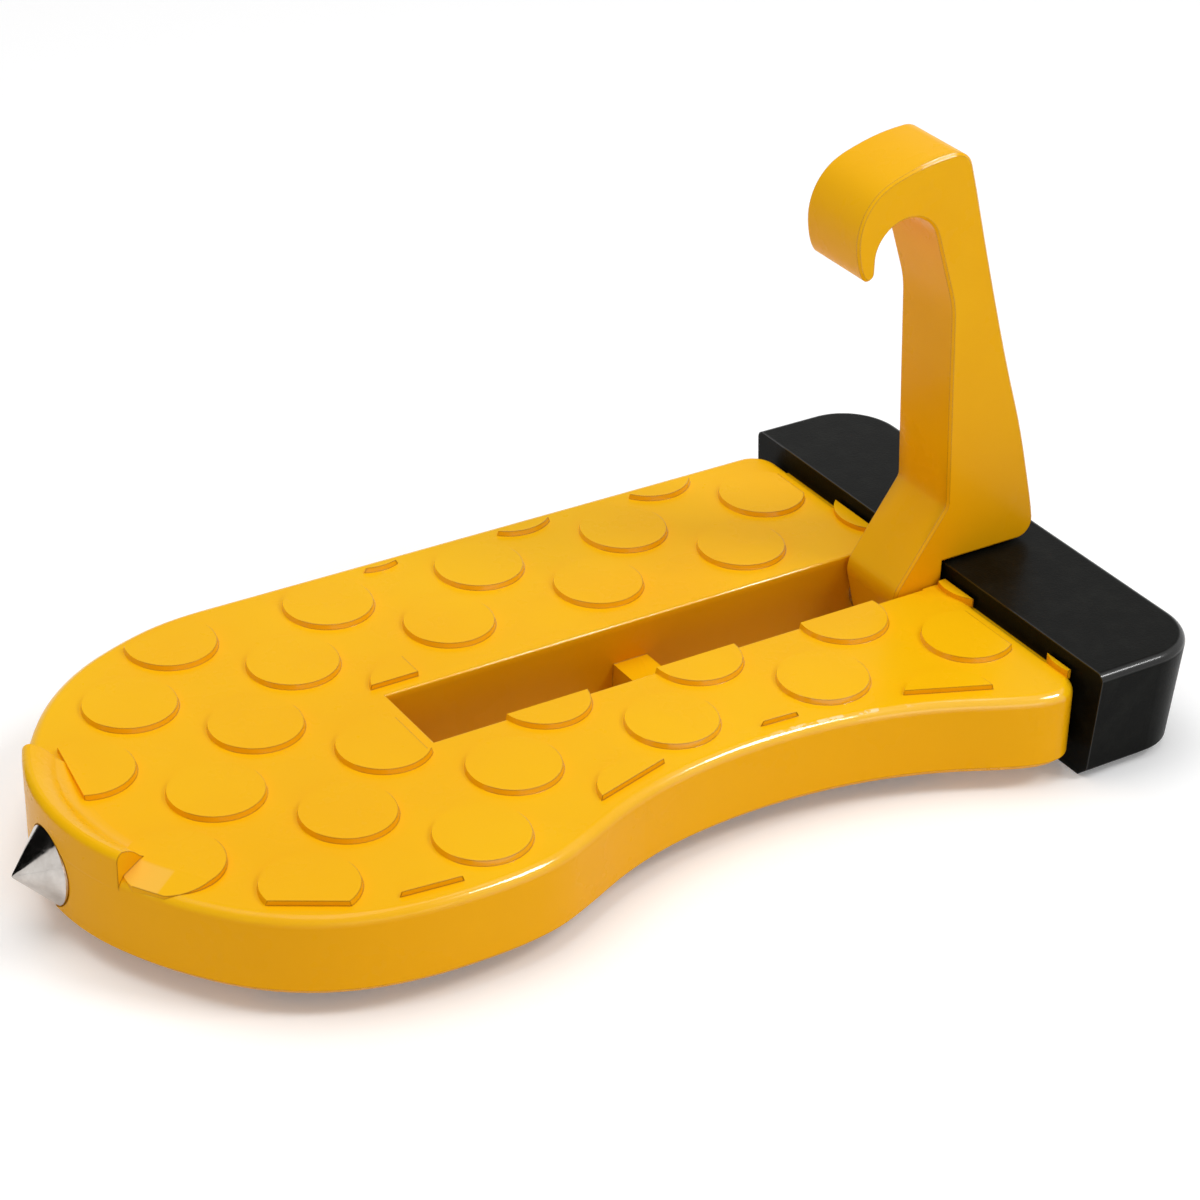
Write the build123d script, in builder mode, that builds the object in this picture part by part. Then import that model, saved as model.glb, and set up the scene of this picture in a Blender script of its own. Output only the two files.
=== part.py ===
from build123d import *
import os
from math import acos, asin, atan2, cos, degrees, radians, sin, sqrt, tan

# Folding foot step that hooks onto a car door's latch loop, with a window hammer tip in its nose
# Millimetres, +X toward the rubber bumper, +Y away from the viewer, +Z up
# The origin lies under the middle of the whole step, and y = 0 is the middle of the hook slot

# Clearances that several pieces share
fitGap = 0.05
runningGap = 0.06
capGap = 0.1

# Cuts reach a little past what they cut, and some run right out of the step
cutMargin = 1.0
cutReach = 200.0

# Width of the hook and of the side washers that fill its slot
hookHalf = 6.0
washerThick = 0.5

# Height levels of the tread plate
soleZ = 2.8
bodyThick = 12.0
topZ = soleZ + bodyThick
edgeRound = 1.5
soleRound = 1.2

# Foot outline, nose to the left: the nose arc, then points of the near side and of the far side
noseArcX = -42.3
noseRadius = 33.9
noseTurn = 26.0
rearFaceX = 61.1
rearNearY = -34.7
rearFarY = 35.75
farWallY = 40.05
rearFarCorner = 4.3
rearNearCorner = 4.4
farRearX = rearFaceX - rearFarCorner
farFrontX = -35.0
toeNear = (-53.05, -35.5)
ballFront = (-41.8, -38.45)
ballRear = (-31.3, -38.85)
waistFront = (-20.0, -36.9)
waistBend = (-5.7, -31.05)
waistNarrow = (16.7, -28.3)
waistRear = (41.55, -33.3)
heelFront = (50.4, -37.4)
heelRear = (rearFaceX - rearNearCorner, -39.1)
ballFar = (-46.3, 38.45)
toeFar = (-57.9, 33.2)
noseSideX = noseArcX - noseRadius * cos(radians(noseTurn))
noseSideY = noseRadius * sin(radians(noseTurn))

# Points round the outline with the direction of travel there, in degrees
outline = [
    (noseArcX - noseRadius, 0, -90),
    (noseSideX, -noseSideY, noseTurn - 90),
    (*toeNear, -23.6),
    (*ballFront, -7.0),
    (*ballRear, 1.4),
    (*waistFront, 21.9),
    (*waistBend, 16.8),
    (*waistNarrow, -1.6),
    (*waistRear, -21.9),
    (*heelFront, -24.0),
    (*heelRear, 0),
    (rearFaceX, rearNearY, 90),
    (rearFaceX, rearFarY, 90),
    (farRearX, farWallY, 180),
    (farFrontX, farWallY, 180),
    (*ballFar, -162.4),
    (*toeFar, -146.0),
    (noseSideX, noseSideY, -90 - noseTurn),
]

# Slot for the hook, its cross web and the casting walls
slotHalf = hookHalf + washerThick + 2 * runningGap
slotFrontX = -23.5
slotEdgeStop = 3.9
slotInnerX = rearFaceX - slotEdgeStop
slotRearX = 65.2
slotEdge = 0.4
webFrontX = 13.1
webRearX = 18.8
webTopZ = 8.5
wallThick = 3.2
plateThick = 3.4
ribThick = 2.0
tongueRoot = 5.1
tongueFrontX = rearFaceX - tongueRoot
tongueStep = 1.0
ribX = (-60.0, -45.0, -27.7, -10.0, 8.0, 26.0, 44.0)

# Round tread studs on a slanting lattice
studRadius = 6.6
studHeight = 0.75
studDraft = 0.18
studOrigin = (-66.3, 9.38)
studStepA = (23.97, -1.17)
studStepB = (-11.56, -11.59)
treadMargin = 3.0
slotMargin = 2.1
studRootZ = 0.6
studLeast = 0.4
noseStud = (5, 1)
noseStudRoot = 2.2
noseStudMargin = 0.15
slotStud = (3, 2)
slotStudEndX = -17.3
facetInset = 4.6
facetDrop = 0.9
noseClear = ((-69.3, 3.0), (-67.6, 15.5), (-67.0, 24.0))

# Raised boss round the hammer tip
bossRise = 3.6
bossSpan = 25.5
bossFade = 0.5
bossStand = 0.03
bossRun = 7.3
bossBend = (4.2, 1.4)
bossCrest = 1.1
bossLip = 1.1
bossCrestSwell = (0.27, 0.3)
bossRampSwell = (0.49, 0.58)
bossFootSag = (0.49, 0.33)

# Hammer tip
tipZ = 9.3
tipSink = 0.6
tipCollar = 0.55
tipLength = 5.05
tipSeatX = noseArcX - noseRadius + tipSink
tipBaseX = tipSeatX - tipCollar
tipApexX = tipBaseX - tipLength
tipRadius = 5.36
tipSeatDepth = 5.0
tipGap = 0.22
tipBluntRadius = 0.25
tipBluntLength = 0.12
studBoltRadius = 3.0
studBoltLength = 10.5
studBoltChamfer = 0.6

# Rubber bumper
bumperFrontGap = 0.4
bumperFrontX = rearFaceX + bumperFrontGap
bumperLength = 19.8
bumperRearX = bumperFrontX + bumperLength
bumperRise = 2.8
bumperHighZ = topZ + bumperRise
bumperTopHalf = 41.8
bumperDraft = 4.5
bumperSoleHalf = bumperTopHalf - bumperHighZ * tan(radians(bumperDraft))
bumperSoleRearX = bumperRearX - bumperHighZ * tan(radians(bumperDraft))
bumperCorner = 7.8
bumperTopRound = 1.2
bumperSoleRound = 1.6
bumperSideWall = 8.4
bumperRearWall = 4.1
tongueHalf = bumperTopHalf - bumperSideWall
tongueRearX = bumperRearX - bumperRearWall

# Bumper screws
bumperScrewBack = 6.6
bumperScrewInset = 6.4
bumperScrewX = tongueRearX - bumperScrewBack
bumperScrewY = tongueHalf - bumperScrewInset
bumperScrewRadius = 2.0
bumperHeadRadius = 4.4
bumperHeadThick = 1.2
bumperHeadSink = 0.15
bumperHeadGap = 0.25
bumperHeadEdge = 0.35
bumperScrewDepth = 7.5
driveSlotWide = 0.9
driveSlotDeep = 0.5
driveCrossLength = 4.84

# Hinge
pinX = 59.05
pinZ = 8.6
pinRadius = 3.0
pinHalfLength = 19.5
pinChamfer = 0.5
washerRadius = 4.9
hookEdge = 0.35

# Hook profile, x and z
rootRadius = 5.0
rootGap = 0.35
shoulderGap = 0.3
mouthCentre = (50.2, 68.8)
mouthRadius = 5.2
shankBend = (59.0, 58.85)
shankFoot = (61.0, 26.9)
heelCorner = (52.45, 14.35)
shoulderCorner = (77.6, bumperHighZ + shoulderGap)
backEdge = ((77.3, 20.6), (75.9, 26.9), (73.1, 37.3), (70.5, 45.2), (66.8, 57.2), (64.0, 66.8), (60.9, 77.8))
crownCorner = (59.57, 82.05)
crown = ((53.0, 81.6), (48.7, 80.5), (45.0, 78.8), (42.7, 76.1), (41.75, 72.5), (42.0, 69.6), (42.8, 67.1))
beakCorner = (45.0, 65.1)
bendRound = 16.0
footRound = 2.0
heelRound = 4.2
shoulderRound = 2.6
crownRound = 3.2
beakRound = 1.0

# Saddle straps under the pin
strapSlotWall = 2.18
strapInnerY = slotHalf + strapSlotWall
strapWidth = 12.4
strapRearGap = 0.2
strapLength = 13.9
strapRearX = rearFaceX - strapRearGap
strapFrontX = strapRearX - strapLength
strapThick = 1.5
strapScrewInset = 3.4
strapScrewX = strapFrontX + strapScrewInset
strapScrewY = 3.1
strapScrewRadius = 1.5
strapHeadRadius = 2.7
strapHeadThick = 1.1
strapHoleGap = 0.15
strapScrewDepth = 5.0
strapRecessGap = 0.4

os.makedirs("parts", exist_ok=True)


def heading(turn):
    return Vector(cos(radians(turn)), sin(radians(turn)))


def arcJoint(start, end):
    # Point where two arcs meet that together run smoothly from one outline point to the next
    chord = Vector(end[0] - start[0], end[1] - start[1])
    begin, finish = heading(start[2]), heading(end[2])
    square = 2 * (1 - begin.dot(finish))
    linear = 2 * chord.dot(begin + finish)
    if square < 1e-6:
        reach = chord.length ** 2 / linear
    else:
        reach = (-linear + sqrt(linear ** 2 + 4 * square * chord.length ** 2)) / (2 * square)
    middle = (Vector(*start[:2]) + begin * reach + Vector(*end[:2]) - finish * reach) * 0.5
    return (middle.X, middle.Y)


# Plan view of the tread plate: smooth arcs through the outline points, straight where both directions agree
with BuildSketch() as footprint:
    with BuildLine():
        for start, end in zip(outline, outline[1:] + outline[:1]):
            if start[2] == end[2]:
                Line(start[:2], end[:2])
                continue
            joint = arcJoint(start, end)
            firstArc = TangentArc(start[:2], joint, tangent=heading(start[2]))
            TangentArc(joint, end[:2], tangent=firstArc.tangent_at(1))
    make_face()
rim = footprint.sketch.face().outer_wire()


def wallY(x, side):
    # Distance of the outer wall from the middle plane at this x, on one side
    crossing = Edge.make_line((x, 0, 0), (x, side * cutReach, 0))
    hits = [point for edge in rim.edges() for point in edge.find_intersection_points(crossing)]
    return abs(hits[0].Y)


# Tread studs, cut off along the edges of the tread
with BuildPart() as stud:
    with BuildSketch(Plane.XZ):
        with BuildLine():
            Polyline(
                (0, -studRootZ),
                (studRadius, -studRootZ),
                (studRadius, 0),
                (studRadius - studDraft, studHeight),
                (0, studHeight),
                close=True,
            )
        make_face()
    revolve(axis=Axis.Z)


def studCentre(row, column):
    x = studOrigin[0] + column * studStepA[0] + (row - 3) * studStepB[0]
    y = studOrigin[1] + column * studStepA[1] + (row - 3) * studStepB[1]
    return (x, y, topZ)


def wallSide(x, y):
    # Signed distance to the outer wall, positive inside, and the outward direction there
    gap, onRim, spot = rim.distance_to_with_closest_points(Vertex(x, y, 0))
    inside = footprint.sketch.face().is_inside((x, y, 0))
    sign = 1 if inside else -1
    outward = Vector(onRim.X - x, onRim.Y - y, 0).normalized() * sign
    return sign * gap, outward


studSpots = [(row, column) for row in range(8) for column in range(-1, 9) if (row, column) != noseStud]
cutBoxes = []
kept = []
for row, column in studSpots:
    x, y, z = studCentre(row, column)
    gap, outward = wallSide(x, y)
    room = gap - treadMargin
    overSlot = abs(y) < slotHalf and x > slotFrontX + studRadius
    if room < studLeast - studRadius or x - studRadius > rearFaceX - cutMargin:
        continue
    if overSlot and y > 0 and (row, column) != slotStud:
        continue
    kept.append((x, y, z))
    if room < studRadius:
        turn = degrees(atan2(outward.Y, outward.X))
        reachOut = room + studRadius
        cutBoxes.append(((x + outward.X * reachOut, y + outward.Y * reachOut, turn)))
with BuildPart() as studs:
    with Locations(*kept):
        add(stud.part)
    with BuildSketch(Plane.XY.offset(topZ - cutMargin)):
        for cutX, cutY, turn in cutBoxes:
            with Locations(Location((cutX, cutY, 0), (0, 0, turn))):
                Rectangle(2 * studRadius, 2 * (studRadius + cutMargin))
    extrude(amount=studHeight + 2 * cutMargin, mode=Mode.SUBTRACT)

    # Straight cuts at the rear face, along the slot, beside the slot's front corner and behind the boss
    with BuildSketch(Plane.XY.offset(topZ - cutMargin)):
        with Locations((rearFaceX - capGap + cutReach / 2, 0)):
            Rectangle(cutReach, cutReach)
        with Locations(((slotFrontX + slotRearX) / 2, 0)):
            Rectangle(slotRearX - slotFrontX, 2 * slotHalf)
        with Locations(((slotFrontX + slotRearX) / 2, slotHalf + slotMargin / 2)):
            Rectangle(slotRearX - slotFrontX + 2 * slotMargin, slotMargin)
        with Locations((slotFrontX - slotMargin / 2, 0)):
            Rectangle(slotMargin, 2 * (slotHalf + slotMargin))
        cornerX, cornerY, level = studCentre(*slotStud)
        cornerWide = cornerX + studRadius + fitGap - slotStudEndX
        cornerDeep = cornerY + studRadius + fitGap - slotHalf
        with Locations((slotStudEndX + cornerWide / 2, slotHalf + cornerDeep / 2)):
            Rectangle(cornerWide, cornerDeep)
        with BuildLine():
            Polyline(
                *noseClear,
                (-cutReach, noseClear[-1][1]),
                (-cutReach, noseClear[0][1]),
                close=True,
            )
        make_face()
    extrude(amount=studHeight + 2 * cutMargin, mode=Mode.SUBTRACT)

# Plate with rounded edges, its studs and the tongue that carries the bumper
with BuildPart() as body:
    with BuildSketch(Plane.XY.offset(soleZ)):
        add(footprint.sketch_local)
    extrude(amount=bodyThick)
    fillet(body.faces().sort_by(Axis.Z)[-1].edges(), radius=edgeRound)
    chamfer(body.faces().sort_by(Axis.Z)[0].edges(), length=soleRound)

    # Slot with lightly rounded upper edges
    with BuildSketch(Plane.XY.offset(soleZ)):
        with Locations(((slotFrontX + slotInnerX) / 2, 0)):
            Rectangle(slotInnerX - slotFrontX, 2 * slotHalf)
    extrude(amount=bodyThick, mode=Mode.SUBTRACT)
    slotRim = body.edges().filter_by(lambda e: abs(e.center().Z - topZ) < 0.01)
    slotRim = slotRim.filter_by(lambda e: abs(e.center().Y) < slotHalf + 0.1)
    slotRim = slotRim.filter_by(lambda e: slotFrontX - 0.1 < e.center().X < slotInnerX - cutMargin)
    fillet(slotRim, radius=slotEdge)
    add(studs.part)

    # Tongue that carries the bumper, thinner than the plate
    with BuildSketch(Plane.XY.offset(soleZ + tongueStep)):
        with Locations(((tongueFrontX + tongueRearX) / 2, 0)):
            Rectangle(tongueRearX - tongueFrontX, 2 * tongueHalf)
    extrude(amount=bodyThick - 2 * tongueStep)
    with BuildSketch(Plane.XY.offset(soleZ)):
        with Locations(((tongueFrontX - cutMargin + slotRearX) / 2, 0)):
            Rectangle(slotRearX - tongueFrontX + cutMargin, 2 * slotHalf)
    extrude(amount=bodyThick, mode=Mode.SUBTRACT)

    # Hollow underside: straight-sided bays between the outer wall, the slot walls and the ribs
    with BuildSketch(Plane.XY.offset(soleZ)) as pockets:
        for side in (-1, 1):
            for bayStart, bayEnd in zip(ribX[:-1], ribX[1:]):
                nearX = bayStart + ribThick / 2
                farX = bayEnd - ribThick / 2
                innerY = ribThick / 2 if bayEnd <= slotFrontX else slotHalf + wallThick
                middleX = (nearX + farX) / 2
                with BuildLine():
                    Polyline(
                        (nearX, side * innerY),
                        (farX, side * innerY),
                        (farX, side * (wallY(farX, side) - wallThick)),
                        (middleX, side * (wallY(middleX, side) - wallThick)),
                        (nearX, side * (wallY(nearX, side) - wallThick)),
                        close=True,
                    )
                make_face()
    extrude(amount=bodyThick - plateThick, mode=Mode.SUBTRACT)

    # Web across the slot that the folded shank lies on
    with BuildSketch(Plane.XY.offset(soleZ)):
        with Locations(((webFrontX + webRearX) / 2, 0)):
            Rectangle(webRearX - webFrontX, 2 * slotHalf + cutMargin)
    extrude(amount=webTopZ - soleZ)

# Raised boss over the hammer tip, turned round the centre of the nose arc
startAngle = radians(180 + bossSpan)
startDirection = (cos(startAngle), sin(startAngle), 0)
bossPlane = Plane(
    origin=(noseArcX, 0, 0),
    x_dir=startDirection,
    z_dir=(startDirection[1], -startDirection[0], 0),
)
bossWall = noseRadius + bossStand
bossInner = bossWall - wallThick
bossLow = topZ - edgeRound
with BuildPart() as boss:
    with BuildSketch(bossPlane):
        with BuildLine():
            Polyline(
                (bossWall - bossRun, topZ),
                (bossWall - bossRun, topZ - 2),
                (bossInner, bossLow - wallThick),
                (bossWall - bossFade, bossLow - wallThick),
                (bossWall, bossLow),
                (bossWall, topZ + bossRise - bossLip),
            )
            ThreePointArc(
                (bossWall, topZ + bossRise - bossLip),
                (bossWall - bossCrestSwell[0] * bossCrest, topZ + bossRise - bossCrestSwell[1] * bossLip),
                (bossWall - bossCrest, topZ + bossRise),
            )
            ThreePointArc(
                (bossWall - bossCrest, topZ + bossRise),
                (
                    bossWall - (bossCrest + bossBend[0]) * bossRampSwell[0],
                    topZ + (bossRise + bossBend[1]) * bossRampSwell[1],
                ),
                (bossWall - bossBend[0], topZ + bossBend[1]),
            )
            ThreePointArc(
                (bossWall - bossBend[0], topZ + bossBend[1]),
                (bossWall - (bossBend[0] + bossRun) * bossFootSag[0], topZ + bossBend[1] * bossFootSag[1]),
                (bossWall - bossRun, topZ),
            )
        make_face()
    revolve(axis=Axis((noseArcX, 0, 0), (0, 0, -1)), revolution_arc=2 * bossSpan)

# The stud at the nose runs out over the rounded edge and ends in a slanting flat
noseCentre = studCentre(*noseStud)
noseReach = sqrt((noseCentre[0] - noseArcX) ** 2 + noseCentre[1] ** 2)
outward = ((noseCentre[0] - noseArcX) / noseReach, noseCentre[1] / noseReach)
wallDistance = noseRadius - noseReach
facetPlane = Plane(
    origin=(noseCentre[0], noseCentre[1], 0),
    x_dir=(outward[0], outward[1], 0),
    z_dir=(outward[1], -outward[0], 0),
)
with BuildPart() as edgeStud:
    with BuildSketch(Plane.XY.offset(topZ - noseStudRoot)):
        with Locations(noseCentre[:2]):
            Circle(studRadius)
    extrude(amount=noseStudRoot + studHeight)
    with BuildSketch(facetPlane):
        with BuildLine():
            Polyline(
                (wallDistance - facetInset, topZ + studHeight),
                (wallDistance - noseStudMargin, topZ + studHeight - facetDrop),
                (wallDistance - noseStudMargin, soleZ),
                (wallDistance + studRadius, soleZ),
                (wallDistance + studRadius, topZ + bossRise),
                (wallDistance - facetInset, topZ + bossRise),
                close=True,
            )
        make_face()
    extrude(amount=2 * studRadius, both=True, mode=Mode.SUBTRACT)

# Join the boss and the nose stud to the plate, then cut the tip seat, the hinge saddles and the screw holes
with BuildPart() as pedal:
    add(body.part)
    add(boss.part)
    add(edgeStud.part)

    # Seat and bolt hole of the hammer tip
    with BuildSketch(Plane.YZ.offset(tipSeatX)):
        with Locations((0, tipZ)):
            Circle(tipRadius + tipGap)
    extrude(amount=-tipSeatDepth, mode=Mode.SUBTRACT)
    with BuildSketch(Plane.YZ.offset(tipSeatX - cutMargin)):
        with Locations((0, tipZ)):
            Circle(studBoltRadius + fitGap)
    extrude(amount=studBoltLength + 2 * cutMargin, mode=Mode.SUBTRACT)

    # Saddles for the hinge pin, open to the underside
    with BuildSketch(Plane.XZ):
        with Locations((pinX, pinZ)):
            Circle(pinRadius + fitGap)
        with Locations((pinX, (pinZ + soleZ - cutMargin) / 2)):
            Rectangle(2 * (pinRadius + fitGap), pinZ - soleZ + cutMargin)
    extrude(amount=pinHalfLength + strapRecessGap, both=True, mode=Mode.SUBTRACT)
    strapCentreX = (strapFrontX + strapRearX) / 2
    strapCentreY = strapInnerY + strapWidth / 2
    strapTopZ = pinZ - pinRadius - fitGap
    with BuildSketch(Plane.XY.offset(soleZ)):
        with Locations((strapCentreX, strapCentreY), (strapCentreX, -strapCentreY)):
            Rectangle(strapRearX - strapFrontX + 2 * strapRecessGap, strapWidth + 2 * strapRecessGap)
    extrude(amount=strapTopZ - soleZ, mode=Mode.SUBTRACT)
    strapScrews = [
        (strapScrewX, side * strapCentreY + shift)
        for side in (-1, 1)
        for shift in (-strapScrewY, strapScrewY)
    ]
    with BuildSketch(Plane.XY.offset(strapTopZ)):
        with Locations(*strapScrews):
            Circle(strapScrewRadius + fitGap)
    extrude(amount=strapScrewDepth + cutMargin, mode=Mode.SUBTRACT)

    # Bumper screw holes in the tongue
    bumperScrews = [(bumperScrewX, -bumperScrewY), (bumperScrewX, bumperScrewY)]
    with BuildSketch(Plane.XY.offset(soleZ)):
        with Locations(*bumperScrews):
            Circle(bumperScrewRadius + fitGap)
    extrude(amount=bumperScrewDepth + cutMargin, mode=Mode.SUBTRACT)
pedal.part.label = "pedal_body"
export_step(pedal.part, "parts/pedal_body.step")


# Hook plate: mouth at the top, shank, shoulder that stands on the bumper and round root on the pin
shoulderZ = shoulderCorner[1]
rootRearX = bumperFrontX - rootGap
rootJoinZ = pinZ + sqrt(rootRadius ** 2 - (rootRearX - pinX) ** 2)
heelLean = atan2(pinZ - heelCorner[1], pinX - heelCorner[0])
heelReach = sqrt((pinX - heelCorner[0]) ** 2 + (pinZ - heelCorner[1]) ** 2)
heelTangent = heelLean - asin(rootRadius / heelReach)
heelRun = sqrt(heelReach ** 2 - rootRadius ** 2)
heelTouch = (heelCorner[0] + heelRun * cos(heelTangent), heelCorner[1] + heelRun * sin(heelTangent))
mouthTurn = atan2(shankBend[1] - mouthCentre[1], shankBend[0] - mouthCentre[0])
mouthReach = sqrt((shankBend[0] - mouthCentre[0]) ** 2 + (shankBend[1] - mouthCentre[1]) ** 2)
mouthEnd = mouthTurn + acos(mouthRadius / mouthReach)
mouthTouch = (mouthCentre[0] + mouthRadius * cos(mouthEnd), mouthCentre[1] + mouthRadius * sin(mouthEnd))
mouthStart = (mouthCentre[0] - mouthRadius, mouthCentre[1])
mouthCrown = (mouthCentre[0], mouthCentre[1] + mouthRadius)
hookRounds = (
    (shankBend, bendRound),
    (shankFoot, footRound),
    (heelCorner, heelRound),
    (shoulderCorner, shoulderRound),
    (crownCorner, crownRound),
    (beakCorner, beakRound),
)
with BuildPart() as hook:
    with BuildSketch(Plane.XZ):
        with BuildLine():
            ThreePointArc(mouthStart, mouthCrown, mouthTouch)
            Polyline(mouthTouch, shankBend, shankFoot, heelCorner, heelTouch)
            ThreePointArc(heelTouch, (pinX, pinZ - rootRadius), (rootRearX, rootJoinZ))
            Polyline((rootRearX, rootJoinZ), (rootRearX, shoulderZ), shoulderCorner)
            Spline(shoulderCorner, *backEdge, crownCorner)
            Spline(crownCorner, *crown, beakCorner)
            Line(beakCorner, mouthStart)
        make_face()
    extrude(amount=hookHalf, both=True)
    for corner, size in hookRounds:
        acrossEdges = hook.edges().filter_by(Axis.Y)
        fillet(acrossEdges.sort_by_distance((corner[0], 0, corner[1]))[0], radius=size)
    chamfer(hook.faces().filter_by(Axis.Y).edges(), length=hookEdge)
    with BuildSketch(Plane.XZ):
        with Locations((pinX, pinZ)):
            Circle(pinRadius + runningGap)
    extrude(amount=hookHalf + cutMargin, both=True, mode=Mode.SUBTRACT)
hook.part.label = "hook"
export_step(hook.part, "parts/hook.step")


# Hinge pin with chamfered ends
with BuildPart() as hingePin:
    with BuildSketch(Plane.XZ):
        with Locations((pinX, pinZ)):
            Circle(pinRadius)
    extrude(amount=pinHalfLength, both=True)
    chamfer(hingePin.faces().filter_by(Axis.Y).edges(), length=pinChamfer)
hingePin.part.label = "hinge_pin"
export_step(hingePin.part, "parts/hinge_pin.step")


# Thin side washers between the hook and the slot walls
washerInner = hookHalf + runningGap
for washerName, side in (("washer_near", -1), ("washer_far", 1)):
    with BuildPart() as sideWasher:
        with BuildSketch(Plane.XZ.offset(-side * washerInner)):
            with Locations((pinX, pinZ)):
                Circle(washerRadius)
                Circle(pinRadius + runningGap, mode=Mode.SUBTRACT)
        extrude(amount=-side * washerThick)
    sideWasher.part.label = washerName
    export_step(sideWasher.part, "parts/" + washerName + ".step")


# Steel keeper straps that hold the pin in its saddles, with two screws each
strapBottomZ = strapTopZ - strapThick
for strapName, side in (("strap_near", -1), ("strap_far", 1)):
    with BuildPart() as strap:
        with BuildSketch(Plane.XY.offset(strapBottomZ)):
            with Locations((strapCentreX, side * strapCentreY)):
                Rectangle(strapRearX - strapFrontX, strapWidth)
            with Locations(*[spot for spot in strapScrews if spot[1] * side > 0]):
                Circle(strapScrewRadius + strapHoleGap, mode=Mode.SUBTRACT)
        extrude(amount=strapThick)
    strap.part.label = strapName
    export_step(strap.part, "parts/" + strapName + ".step")

screwNames = ("strap_screw_a", "strap_screw_b", "strap_screw_c", "strap_screw_d")
for screwName, spot in zip(screwNames, strapScrews):
    with BuildPart() as strapScrew:
        with BuildSketch(Plane.XY.offset(strapBottomZ - strapHeadThick)):
            with Locations(spot):
                Circle(strapHeadRadius)
        extrude(amount=strapHeadThick)
        with BuildSketch(Plane.XY.offset(strapBottomZ)):
            with Locations(spot):
                Circle(strapScrewRadius)
        extrude(amount=strapThick + strapScrewDepth)
        with BuildSketch(Plane.XY.offset(strapBottomZ - strapHeadThick)):
            with Locations(spot):
                Rectangle(2 * (strapHeadRadius + cutMargin), driveSlotWide)
        extrude(amount=driveSlotDeep, mode=Mode.SUBTRACT)
    strapScrew.part.label = screwName
    export_step(strapScrew.part, "parts/" + screwName + ".step")


# Rubber cap over the tongue: wide at the top, open toward the tread
with BuildPart() as bumper:
    with BuildSketch():
        with Locations((bumperSoleRearX - bumperTopHalf, 0)):
            RectangleRounded(2 * bumperTopHalf, 2 * bumperSoleHalf, bumperCorner)
    extrude(amount=bumperHighZ, taper=-bumperDraft)
    with BuildSketch():
        with Locations((bumperFrontX - cutReach / 2, 0)):
            Rectangle(cutReach, cutReach)
    extrude(amount=bumperHighZ, mode=Mode.SUBTRACT)
    crestEdges = bumper.faces().sort_by(Axis.Z)[-1].edges()
    crestEdges = crestEdges.filter_by(lambda e: e.center().X > bumperFrontX + 0.1)
    fillet(crestEdges, radius=bumperTopRound)
    soleEdges = bumper.faces().sort_by(Axis.Z)[0].edges()
    soleEdges = soleEdges.filter_by(lambda e: e.center().X > bumperFrontX + 0.1)
    chamfer(soleEdges, length=bumperSoleRound)
    with BuildSketch(Plane.XY.offset(soleZ + tongueStep - capGap)):
        with Locations((tongueRearX + capGap - cutReach / 2, 0)):
            Rectangle(cutReach, 2 * (tongueHalf + capGap))
    extrude(amount=bodyThick - 2 * tongueStep + 2 * capGap, mode=Mode.SUBTRACT)
    with BuildSketch(Plane.XY):
        with Locations(*bumperScrews):
            Circle(bumperHeadRadius + bumperHeadGap)
    extrude(amount=bumperHeadSink + bumperHeadThick, mode=Mode.SUBTRACT)
    with BuildSketch(Plane.XY):
        with Locations(*bumperScrews):
            Circle(bumperScrewRadius + capGap)
    extrude(amount=soleZ + tongueStep + cutMargin, mode=Mode.SUBTRACT)
bumper.part.label = "bumper"
export_step(bumper.part, "parts/bumper.step")

for screwName, spot in zip(("bumper_screw_near", "bumper_screw_far"), bumperScrews):
    with BuildPart() as capScrew:
        with BuildSketch(Plane.XY.offset(bumperHeadSink)):
            with Locations(spot):
                Circle(bumperHeadRadius)
        extrude(amount=bumperHeadThick)
        chamfer(capScrew.faces().sort_by(Axis.Z)[0].edges(), length=bumperHeadEdge)
        with BuildSketch(Plane.XY.offset(bumperHeadSink + bumperHeadThick)):
            with Locations(spot):
                Circle(bumperScrewRadius)
        extrude(amount=soleZ + bumperScrewDepth - bumperHeadSink - bumperHeadThick)
        with BuildSketch(Plane.XY.offset(bumperHeadSink)):
            with Locations(spot):
                Rectangle(driveCrossLength, driveSlotWide)
                Rectangle(driveSlotWide, driveCrossLength)
        extrude(amount=driveSlotDeep, mode=Mode.SUBTRACT)
    capScrew.part.label = screwName
    export_step(capScrew.part, "parts/" + screwName + ".step")


# Turned steel hammer tip: cone, collar and bolt
with BuildPart() as hammerTip:
    with BuildSketch(Plane.XZ):
        with BuildLine():
            Polyline(
                (tipApexX + tipBluntLength, tipZ + tipBluntRadius),
                (tipBaseX, tipZ + tipRadius),
                (tipSeatX - fitGap, tipZ + tipRadius),
                (tipSeatX - fitGap, tipZ + studBoltRadius),
                (tipSeatX + studBoltLength - studBoltChamfer, tipZ + studBoltRadius),
                (tipSeatX + studBoltLength, tipZ + studBoltRadius - studBoltChamfer),
                (tipSeatX + studBoltLength, tipZ),
                (tipApexX, tipZ),
                (tipApexX + tipBluntLength, tipZ + tipBluntRadius),
            )
        make_face()
    revolve(axis=Axis((0, 0, tipZ), (1, 0, 0)))
hammerTip.part.label = "hammer_tip"
export_step(hammerTip.part, "parts/hammer_tip.step")
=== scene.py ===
import math

import bmesh
import bpy
from mathutils import Matrix, Vector


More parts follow.
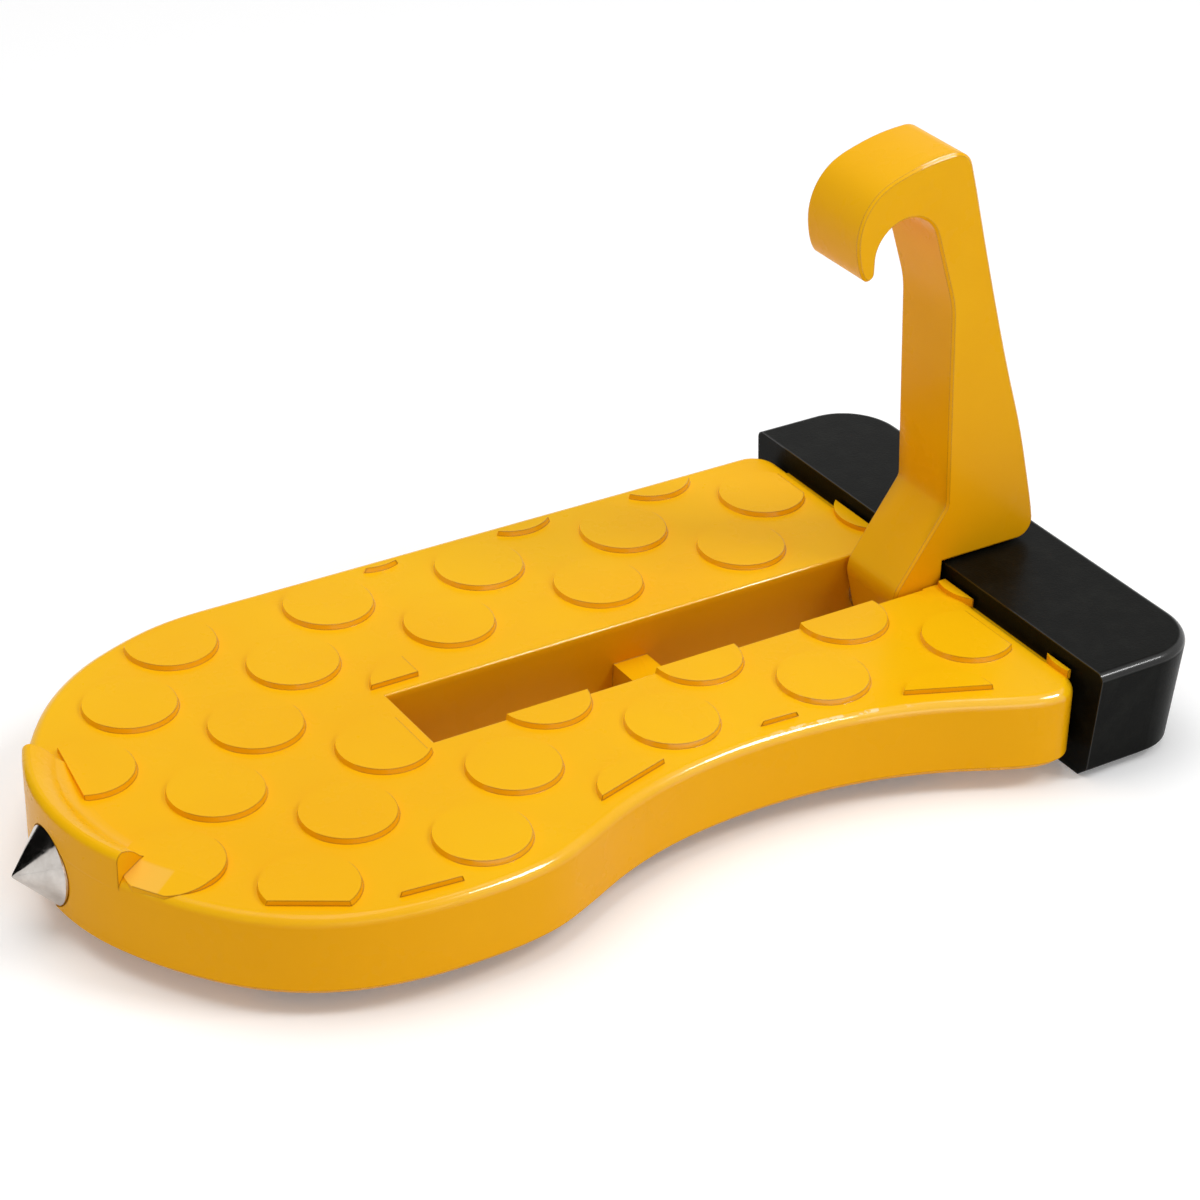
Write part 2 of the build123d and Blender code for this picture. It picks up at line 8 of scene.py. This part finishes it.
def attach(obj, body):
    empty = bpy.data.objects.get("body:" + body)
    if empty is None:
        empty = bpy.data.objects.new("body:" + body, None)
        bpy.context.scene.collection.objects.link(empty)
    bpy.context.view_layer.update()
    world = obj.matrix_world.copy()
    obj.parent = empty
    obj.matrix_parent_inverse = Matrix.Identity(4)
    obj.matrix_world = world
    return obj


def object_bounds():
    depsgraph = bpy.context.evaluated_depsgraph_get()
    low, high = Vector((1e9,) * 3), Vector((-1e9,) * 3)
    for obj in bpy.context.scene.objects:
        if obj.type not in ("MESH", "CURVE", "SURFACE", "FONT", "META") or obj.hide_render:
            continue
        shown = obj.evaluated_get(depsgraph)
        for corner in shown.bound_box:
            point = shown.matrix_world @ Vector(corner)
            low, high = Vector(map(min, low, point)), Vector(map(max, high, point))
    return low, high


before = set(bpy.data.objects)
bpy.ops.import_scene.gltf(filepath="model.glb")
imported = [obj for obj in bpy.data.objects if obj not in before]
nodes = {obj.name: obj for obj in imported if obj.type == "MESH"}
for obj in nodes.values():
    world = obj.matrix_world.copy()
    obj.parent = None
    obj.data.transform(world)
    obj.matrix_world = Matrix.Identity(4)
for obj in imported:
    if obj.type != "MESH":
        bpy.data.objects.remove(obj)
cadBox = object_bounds()
print("frame loaded:", len(nodes), "nodes")


class Socket:
    # One output of a node tree, with plain arithmetic on it

    def __init__(self, tree, out):
        self.tree = tree
        self.out = out

    def make(self, kind, outName=0, settings=None, **inputs):
        # Any node: settings are its properties, inputs its sockets by name or as _number
        node = self.tree.nodes.new(kind)
        for key, value in (settings or {}).items():
            setattr(node, key, value)
        for key, value in inputs.items():
            target = int(key[1:]) if key[1:].isdigit() else key.replace("_", " ")
            feed(self.tree, node.inputs[target], value)
        return Socket(self.tree, node.outputs[outName])

    def math(self, operation, other=0.0):
        return self.make("ShaderNodeMath", 0, {"operation": operation}, _0=self, _1=other)

    def __add__(self, other):
        return self.math("ADD", other)

    def __radd__(self, other):
        return self.math("ADD", other)

    def __sub__(self, other):
        return self.math("SUBTRACT", other)

    def __rsub__(self, other):
        return (self * -1.0).math("ADD", other)

    def __mul__(self, other):
        return self.math("MULTIPLY", other)

    def __rmul__(self, other):
        return self.math("MULTIPLY", other)

    def span(self, low, high, first=0.0, last=1.0):
        # Value mapped from low..high to first..last and clamped
        return self.make("ShaderNodeMapRange", _0=self, _1=low, _2=high, _3=first, _4=last)

    def window(self, rising, falling):
        # One between two spans of the value, zero outside them
        return self.span(*rising) * self.span(*falling)

    def blend(self, first, last):
        # Colour between two others, with this value as the factor
        return self.make("ShaderNodeMix", 2, {"data_type": "RGBA"}, _0=self, _6=first, _7=last)

    def turn(self, first, last):
        # Direction between two others, with this value as the factor
        return self.make("ShaderNodeMix", 1, {"data_type": "VECTOR"}, _0=self, _4=first, _5=last)

    def compare(self, operation, first, second):
        # Number that vector math makes of two vectors
        settings = {"operation": operation}
        return self.make("ShaderNodeVectorMath", "Value", settings, _0=first, _1=second)

    def noise(self, scale, detail=2.0, roughness=0.5):
        return self.make(
            "ShaderNodeTexNoise", Vector=self, Scale=scale, Detail=detail, Roughness=roughness
        )

    def axis(self, name):
        return self.make("ShaderNodeSeparateXYZ", name, Vector=self)


def feed(tree, target, value):
    if isinstance(value, Socket):
        tree.links.new(value.out, target)
    elif isinstance(value, tuple) and len(value) == 3 and target.type == "RGBA":
        target.default_value = value + (1.0,)
    else:
        target.default_value = value


def newMaterial(name):
    # A fresh material: itself, its place socket and a call that feeds its shader
    material = bpy.data.materials.new(name)
    material.use_nodes = True
    tree = material.node_tree
    shader = tree.nodes["Principled BSDF"]
    place = Socket(tree, tree.nodes.new("ShaderNodeTexCoord").outputs["Object"])

    def dress(**values):
        for key, value in values.items():
            feed(tree, shader.inputs[key.replace("_", " ")], value)

    return material, place, dress


def bumpFrom(height, strength, distance, **normal):
    return height.make(
        "ShaderNodeBump", Height=height, Strength=strength, Distance=distance, **normal
    )


def wear(name, material):
    # Material on every slot of a frame node
    slots = nodes[name].data.materials
    if len(slots) == 0:
        slots.append(material)
    for index in range(len(slots)):
        slots[index] = material


def newPiece(name, mesh, material):
    # An object with this bmesh and material, at the origin
    data = bpy.data.meshes.new(name)
    mesh.to_mesh(data)
    mesh.free()
    data.materials.append(material)
    piece = bpy.data.objects.new(name, data)
    bpy.context.scene.collection.objects.link(piece)
    return piece


def roundedNormal(place, radius):
    # Normal of the surface with its sharp edges rounded by this radius
    return place.make("ShaderNodeBevel", settings={"samples": 6}, Radius=radius)


slantSpans = ((0.06, 0.25), (0.985, 0.94))


def slanting(normal):
    # One where a rounded edge turns from the top toward a wall, zero on tops and walls
    return normal.axis("Z").window(*slantSpans)


# Paint in general: a noise is its scale, detail and roughness, a span runs from zero to one
paintCare = {
    "cloud": (24.0, 3.0, 0.55),
    "patch": (90.0, 4.0, 0.6),
    "grain": (2600.0, 2.0, 0.5),
    "wavy": (420.0, 2.0, 0.5),
    "cloudSpan": (0.35, 0.65),
    "patchSpan": (0.3, 0.7),
    "rough": (0.24, 0.34),
    "rounding": 0.0003,
    "edgeSpan": (0.006, 0.08),
    "edgePatches": (0.25, 0.45, 0.35, 1.0),
    "wallSpan": (0.5, 0.2),
    # share of the painted wall shade
    "wallShare": 0.6,
    "wavyShare": 0.7,
    "grainShare": 0.3,
    "bumpDistance": 0.0004,
    "coatMost": 0.85,
    "coatLeast": 0.03,
}

# Paint of the tread casting, with painted shade on walls, edges and slot, and painted highlights
treadCare = {
    "deep": (0.92, 0.462, 0.002),
    "light": (0.95, 0.515, 0.003),
    # painted shade on the walls
    "wall": (0.88, 0.37, 0.001),
    # edge: painted shade along the edges, in patches
    "edge": (0.45, 0.16, 0.002),
    "edgeShadeShare": 0.85,
    "peel": 0.10,
    "nearSide": (0.25, -0.75, 0.0),
    "nearSpan": (0.02, 0.12),
    "polishClouds": (0.40, 0.56, 0.25, 1.0),
    "calmNose": (-0.068, -0.054, 0.12, 1.0),
    # painted highlight in dashes on the waist's upper edge
    "crestHighlight": {
        "tone": (0.97, 0.80, 0.42),
        "share": 0.8,
        "along": ((0.016, 0.020), (0.038, 0.034)),
        "side": (-0.020, -0.022),
        "crest": ((0.80, 0.86), (0.985, 0.95)),
        "specks": (780.0, 3.0, 0.6),
        "speckSpan": (0.50, 0.55),
    },
    # painted shade in the hook slot
    "paintedSlotShade": {
        "tone": (0.70, 0.285, 0.001),
        "share": 0.8,
        "level": (0.0146, 0.0136),
        "aside": (0.0076, 0.0069),
        "along": (-0.0250, -0.0240),
    },
    # painted highlight on the slanting flat at the nose
    "facetHighlight": {
        "tone": (0.95, 0.53, 0.09),
        "share": 0.6,
        "stud": (-0.06545, -0.01497, 0.0150),
        "studSpan": (0.0067, 0.0064),
        "nose": (-0.0423, 0.0, 0.0150),
        "noseSpan": (0.0294, 0.0298),
        "level": (0.0136, 0.0141),
        "direction": (0.543, -0.840, 0.0),
        "end": (-0.0215, -0.0218),
        "slope": (0.4, 0.6),
    },
}

# Paint of the hook, with painted shade on the walls of its foot and along its edges
hookCare = {
    "deep": (0.90, 0.440, 0.002),
    "light": (0.94, 0.495, 0.003),
    # painted shade on the walls of the foot
    "wall": (0.86, 0.35, 0.001),
    # edge: painted shade along the edges, in patches
    "edge": (0.36, 0.12, 0.002),
    "edgeShadeShare": 0.75,
    "peel": 0.08,
    "footSpan": (0.050, 0.022),
    "crease": {
        "height": ((0.019, 0.024), (0.038, 0.032)),
        "front": (-0.2, -0.5),
        "rounding": 0.005,
    },
}


def paintedCrestHighlightMask(place, rounded, care):
    # Painted highlight in pale dashes along the waist's upper edge
    stretch = place.axis("X").window(*care["along"]) * place.axis("Y").span(*care["side"])
    crest = rounded.axis("Z").window(*care["crest"])
    return stretch * crest * place.noise(*care["specks"]).span(*care["speckSpan"])


def paintedSlotShadeMask(place, flat, care):
    # Painted shade on the walls of the hook slot
    below = place.axis("Z").span(*care["level"])
    between = place.axis("Y").math("ABSOLUTE").span(*care["aside"])
    inSlot = below * between * place.axis("X").span(*care["along"])
    return inSlot * flat.axis("Z").span(*paintCare["wallSpan"])


def paintedFacetHighlightMask(place, flat, care):
    # Painted highlight: pale colour on the slanting flat of the stud at the nose
    onStud = place.compare("DISTANCE", place, care["stud"]).span(*care["studSpan"])
    pastNose = place.compare("DISTANCE", place, care["nose"]).span(*care["noseSpan"])
    beforeEnd = place.compare("DOT_PRODUCT", place, care["direction"]).span(*care["end"])
    onTop = place.axis("Z").span(*care["level"]) * flat.axis("Z").span(*care["slope"])
    return onStud * pastNose * beforeEnd * onTop


def makePaint(name, care):
    material, place, dress = newMaterial(name)
    cloud = place.noise(*paintCare["cloud"])
    patch = place.noise(*paintCare["patch"])
    flat = place.make("ShaderNodeNewGeometry", "Normal")
    rounded = roundedNormal(place, paintCare["rounding"])
    edge = (1.0 - place.compare("DOT_PRODUCT", rounded, flat)).span(*paintCare["edgeSpan"])
    gloss = edge
    tone = cloud.span(*paintCare["cloudSpan"]).blend(care["deep"], care["light"])
    # Painted shade: walls are a little deeper in colour than tops, on the hook only those of its
    # foot
    paintedWallShade = flat.axis("Z").span(*paintCare["wallSpan"]) * paintCare["wallShare"]
    if "footSpan" in care:
        paintedWallShade = paintedWallShade * place.axis("Z").span(*care["footSpan"])
    tone = paintedWallShade.blend(tone, care["wall"])
    if "crease" in care:
        # The foot of the shank runs out without a crease
        crease = care["crease"]
        atFoot = place.axis("Z").window(*crease["height"]) * flat.axis("X").span(*crease["front"])
        rounded = atFoot.turn(rounded, roundedNormal(place, crease["rounding"]))
    if "nearSide" in care:
        # Cast studs melt into the plate on their far side, and shoes polish the plate's own rim;
        # the painted edge shade stays on rims that face the near side
        near = place.compare("DOT_PRODUCT", rounded, care["nearSide"]).span(*care["nearSpan"])
        rounded = near.turn(flat, rounded)
        edge = edge * near
        gloss = slanting(rounded) * cloud.span(*care["polishClouds"])
        gloss = gloss * place.axis("X").span(*care["calmNose"])
        # Painted highlight in pale dashes along the waist's upper edge
        crestHighlights = paintedCrestHighlightMask(place, rounded, care["crestHighlight"]) * care["crestHighlight"]["share"]
        tone = crestHighlights.blend(tone, care["crestHighlight"]["tone"])
        # Painted shade: the walls of the hook slot turn deeper in colour
        paintedSlotShade = paintedSlotShadeMask(place, flat, care["paintedSlotShade"]) * care["paintedSlotShade"]["share"]
        tone = paintedSlotShade.blend(tone, care["paintedSlotShade"]["tone"])
        # Painted highlight on the slanting flat at the nose
        facetHighlight = paintedFacetHighlightMask(place, flat, care["facetHighlight"]) * care["facetHighlight"]["share"]
        tone = facetHighlight.blend(tone, care["facetHighlight"]["tone"])
    # Painted shade: darker colour in patches along the edges
    paintedEdgeShade = edge * patch.span(*paintCare["edgePatches"]) * care["edgeShadeShare"]
    wavy = place.noise(*paintCare["wavy"]) * paintCare["wavyShare"]
    grain = place.noise(*paintCare["grain"]) * paintCare["grainShare"]
    dress(
        Base_Color=paintedEdgeShade.blend(tone, care["edge"]),
        Roughness=patch.span(*paintCare["patchSpan"], *paintCare["rough"]),
        Normal=bumpFrom(wavy + grain, care["peel"], paintCare["bumpDistance"], Normal=rounded),
        Metallic=0.0,
        IOR=1.15,
        Coat_Weight=gloss * paintCare["coatMost"] + paintCare["coatLeast"],
        Coat_Roughness=0.12,
        Coat_IOR=1.6,
    )
    return material


treadPaint = makePaint("treadPaint", treadCare)
wear("pedal_body", treadPaint)
wear("hook", makePaint("hookPaint", hookCare))
print("paint done")

# Three studs of the tread that run under the rubber bumper's lip: each one's middle, and the
# line that a slot or border cuts it off at, with the side that goes
stubCare = {
    "radius": 0.0066,
    "top": 0.01555,
    "foot": 0.0142,
    "rear": 0.06105,
    "segments": 96,
    "places": {
        "stubFar": {"middle": (0.06511, 0.01512)},
        "stubNear": {"middle": (0.06596, -0.00923), "line": -0.0069, "side": 1},
        "stubHeel": {"middle": (0.06681, -0.03358), "line": -0.0356, "side": -1},
    },
}


def makeStub(name, care):
    # A short cylinder, cut off at the bumper and at the tread's own edge
    stub = bmesh.new()
    bmesh.ops.create_cone(
        stub, cap_ends=True, segments=care["segments"],
        radius1=care["radius"], radius2=care["radius"], depth=care["top"] - care["foot"],
    )
    spot = care["places"][name]
    middle = Vector((*spot["middle"], (care["top"] + care["foot"]) / 2))
    bmesh.ops.translate(stub, verts=stub.verts, vec=middle)
    cuts = [((care["rear"], 0, 0), (1, 0, 0))]
    if "line" in spot:
        cuts.append(((0, spot["line"], 0), (0, spot["side"], 0)))
    for point, outside in cuts:
        cut = bmesh.ops.bisect_plane(
            stub, geom=stub.verts[:] + stub.edges[:] + stub.faces[:],
            plane_co=point, plane_no=outside, clear_outer=True,
        )
        rim = [item for item in cut["geom_cut"] if isinstance(item, bmesh.types.BMEdge)]
        bmesh.ops.contextual_create(stub, geom=rim)
    bmesh.ops.recalc_face_normals(stub, faces=stub.faces)
    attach(newPiece(name, stub, treadPaint), "step")


for name in stubCare["places"]:
    makeStub(name, stubCare)
print("stubs done")

# Satin moulded rubber of the bumper
rubberCare = {
    "dark": (0.0022, 0.0024, 0.0018),
    "pale": (0.007, 0.0074, 0.006),
    "dust": (260.0, 5.0, 0.65),
    "dustSpan": (0.45, 0.8),
    "cloud": (40.0, 4.0, 0.6),
    "cloudSpan": (0.3, 0.7),
    "rough": (0.28, 0.40),
    "grain": (3200.0, 3.0, 0.6),
    "grainHeight": (0.12, 0.0003),
    "rounding": 0.0004,
    "edgeSpan": (0.01, 0.12),
    "coat": (0.03, 0.75),
}


def makeRubber(name, care):
    material, place, dress = newMaterial(name)
    rounded = roundedNormal(place, care["rounding"])
    flat = place.make("ShaderNodeNewGeometry", "Normal")
    edge = (1.0 - place.compare("DOT_PRODUCT", rounded, flat)).span(*care["edgeSpan"])
    dust = place.noise(*care["dust"]).span(*care["dustSpan"])
    dress(
        Base_Color=dust.blend(care["dark"], care["pale"]),
        Roughness=place.noise(*care["cloud"]).span(*care["cloudSpan"], *care["rough"]),
        Normal=bumpFrom(place.noise(*care["grain"]), *care["grainHeight"], Normal=rounded),
        Metallic=0.0,
        IOR=1.11,
        Coat_Weight=(slanting(rounded) + edge).span(0.0, 1.0, *care["coat"]),
        Coat_Roughness=0.18,
        Coat_IOR=1.5,
    )
    return material


wear("bumper", makeRubber("capRubber", rubberCare))
print("rubber done")

# Turned and polished steel tip, ground pin, plated straps and screws
steelCare = {
    "tip": {
        "tone": (0.66, 0.62, 0.58), "dark": (0.40, 0.36, 0.33),
        "rough": (0.10, 0.22), "rings": 5200.0,
    },
    "pin": {
        "tone": (0.60, 0.60, 0.60), "dark": (0.42, 0.42, 0.42),
        "rough": (0.22, 0.36), "rings": 4400.0,
    },
    "plate": {
        "tone": (0.62, 0.63, 0.62), "dark": (0.46, 0.46, 0.44),
        "rough": (0.30, 0.46), "rings": 1000.0,
    },
    "smear": (300.0, 4.0, 0.6),
    "smearSpan": (0.3, 0.75),
    "fine": (1800.0, 3.0, 0.5),
    "fineSpan": (0.3, 0.7),
    "ringShare": 0.6,
    "fineShare": 0.4,
    "ringHeight": (0.06, 0.0002),
}


def makeSteel(name, finish, axisName):
    # Steel with the fine rings of a lathe or grinder round this axis
    care = steelCare[finish]
    material, place, dress = newMaterial(name)
    rings = (place.axis(axisName) * care["rings"]).math("SINE") * 0.5 + 0.5
    fine = place.noise(*steelCare["fine"])
    smear = place.noise(*steelCare["smear"]).span(*steelCare["smearSpan"])
    height = rings * steelCare["ringShare"] + fine * steelCare["fineShare"]
    dress(
        Base_Color=smear.blend(care["tone"], care["dark"]),
        Roughness=fine.span(*steelCare["fineSpan"], *care["rough"]),
        Normal=bumpFrom(height, *steelCare["ringHeight"]),
        Metallic=1.0,
    )
    return material


wear("hammer_tip", makeSteel("tipSteel", "tip", "X"))
pinSteel = makeSteel("pinSteel", "pin", "Y")
plateSteel = makeSteel("platedSteel", "plate", "Z")
for name in nodes:
    if name == "hinge_pin" or name.startswith("washer"):
        wear(name, pinSteel)
    elif name.startswith("strap") or name.startswith("bumper_screw"):
        wear(name, plateSteel)
print("steel done")


def raySeen(tree):
    # One for the rays that the camera, a mirror or glass sends out
    path = tree.nodes.new("ShaderNodeLightPath").outputs
    mirrored = Socket(tree, path["Is Glossy Ray"]) + Socket(tree, path["Is Transmission Ray"])
    return Socket(tree, path["Is Camera Ray"]) + mirrored


# Pale floor, white for the camera outside the object's shadow
floorCare = {
    "half": 4.0,
    "gap": 0.00005,
    "tone": (0.94, 0.94, 0.94),
    "shade": (0.92, 0.92, 0.92),
    "cloud": (3.0, 2.0, 0.5),
    "lift": 0.16,
}
floorPale, place, dress = newMaterial("floorPale")
dress(
    Base_Color=place.noise(*floorCare["cloud"]).blend(floorCare["tone"], floorCare["shade"]),
    Roughness=0.9,
    Specular_IOR_Level=0.1,
    Emission_Color=raySeen(place.tree).blend((0.0, 0.0, 0.0), (1.0, 1.0, 1.0)),
    Emission_Strength=floorCare["lift"],
)
floorMesh = bmesh.new()
bmesh.ops.create_grid(floorMesh, x_segments=1, y_segments=1, size=floorCare["half"])
bmesh.ops.translate(floorMesh, verts=floorMesh.verts, vec=(0, 0, cadBox[0][2] - floorCare["gap"]))
newPiece("floor", floorMesh, floorPale)
print("floor done")

# Soft surroundings: white where the camera looks past the floor, softer as a light
worldCare = {"ambient": 0.36, "white": 1.0}
world = bpy.data.worlds.new("studioWorld")
bpy.context.scene.world = world
world.use_nodes = True
tree = world.node_tree
tree.nodes.clear()
seen = raySeen(tree)
ambient = seen.make("ShaderNodeBackground", Strength=worldCare["ambient"], Color=(1.0, 1.0, 1.0))
white = seen.make("ShaderNodeBackground", Strength=worldCare["white"], Color=(1.0, 1.0, 1.0))
both = seen.make("ShaderNodeMixShader", _0=seen, _1=ambient, _2=white)
feed(tree, tree.nodes.new("ShaderNodeOutputWorld").inputs["Surface"], both)

# Soft boxes: place, point aimed at, size and power
lightCare = {
    "skyBox": {
        "place": (-0.10, 0.10, 1.0), "aim": (0.0, 0.0, 0.0), "size": (0.8, 0.8), "power": 5.2,
    },
    "keyBox": {
        "place": (0.46, -0.40, 0.70), "aim": (0.0, 0.0, 0.02), "size": (0.25, 0.25), "power": 2.2,
    },
    "glintBox": {
        "place": (0.45, -0.39, 0.69), "aim": (0.0, 0.0, 0.02), "size": (0.25, 0.25), "power": 4.0,
    },
    "frontBox": {
        "place": (-0.10, -1.05, 0.30), "aim": (0.0, 0.0, 0.02), "size": (0.8, 0.4), "power": 1.3,
    },
}
for name, care in lightCare.items():
    lamp = bpy.data.lights.new(name, "AREA")
    lamp.shape = "RECTANGLE"
    lamp.size, lamp.size_y = care["size"]
    lamp.energy = care["power"]
    holder = bpy.data.objects.new(name, lamp)
    holder.location = care["place"]
    toAim = Vector(care["aim"]) - Vector(care["place"])
    holder.rotation_euler = toAim.to_track_quat("-Z", "Y").to_euler()
    holder.visible_diffuse = name != "glintBox"  # this one only shows in gloss
    bpy.context.scene.collection.objects.link(holder)

# Black card beside the nose, seen only where something mirrors it, as the polished tip does
cardCare = {
    "left": -0.26,
    "right": -0.081,
    "low": 0.0005,
    "high": 0.14,
    "back": 0.035,
    "tone": (0.004, 0.004, 0.004),
    "shade": (0.006, 0.006, 0.006),
    "cloudScale": 30.0,
    "cloudSpan": (0.3, 0.7),
}
cardBlack, place, dress = newMaterial("cardBlack")
cloud = place.noise(cardCare["cloudScale"]).span(*cardCare["cloudSpan"])
dress(
    Base_Color=cloud.blend(cardCare["tone"], cardCare["shade"]),
    Roughness=1.0,
    Specular_IOR_Level=0.0,
)
cardMesh = bmesh.new()
bmesh.ops.create_grid(cardMesh, x_segments=1, y_segments=1, size=0.5)
cardSize = (cardCare["right"] - cardCare["left"], cardCare["high"] - cardCare["low"], 1)
bmesh.ops.scale(cardMesh, vec=cardSize, verts=cardMesh.verts)
bmesh.ops.rotate(cardMesh, matrix=Matrix.Rotation(math.radians(90), 3, "X"), verts=cardMesh.verts)
cardX = (cardCare["right"] + cardCare["left"]) / 2
cardZ = (cardCare["high"] + cardCare["low"]) / 2
bmesh.ops.translate(cardMesh, vec=(cardX, cardCare["back"], cardZ), verts=cardMesh.verts)
card = newPiece("card", cardMesh, cardBlack)
card.visible_camera = False
card.visible_diffuse = False
card.visible_shadow = False
bpy.context.scene.view_settings.view_transform = "Standard"
print("light done")

# Camera of the photograph: angles in degrees, lens and sensor in millimetres
viewCare = {
    "place": (-0.2028, -0.3245, 0.2526),
    "azimuth": -32.796,
    "elevation": 30.5825,
    "roll": 1.6153,
    "lens": 98.33,
    "sensor": 36.0,
    "nearest": 0.01,
}
turn = math.radians(viewCare["azimuth"])
lift = math.radians(viewCare["elevation"])
roll = math.radians(viewCare["roll"])
back = Vector((math.sin(turn) * math.cos(lift), -math.cos(turn) * math.cos(lift), math.sin(lift)))
right = Vector((math.cos(turn), math.sin(turn), 0))
up = back.cross(right)
rolledRight = right * math.cos(roll) + up * math.sin(roll)
rolledUp = up * math.cos(roll) - right * math.sin(roll)
cameraData = bpy.data.cameras.new("photoCamera")
cameraData.lens = viewCare["lens"]
cameraData.sensor_width = viewCare["sensor"]
cameraData.clip_start = viewCare["nearest"]
camera = bpy.data.objects.new("photoCamera", cameraData)
facing = Matrix((rolledRight, rolledUp, back)).transposed().to_4x4()
camera.matrix_world = Matrix.Translation(viewCare["place"]) @ facing
bpy.context.scene.collection.objects.link(camera)
bpy.context.scene.camera = camera
print("camera done")
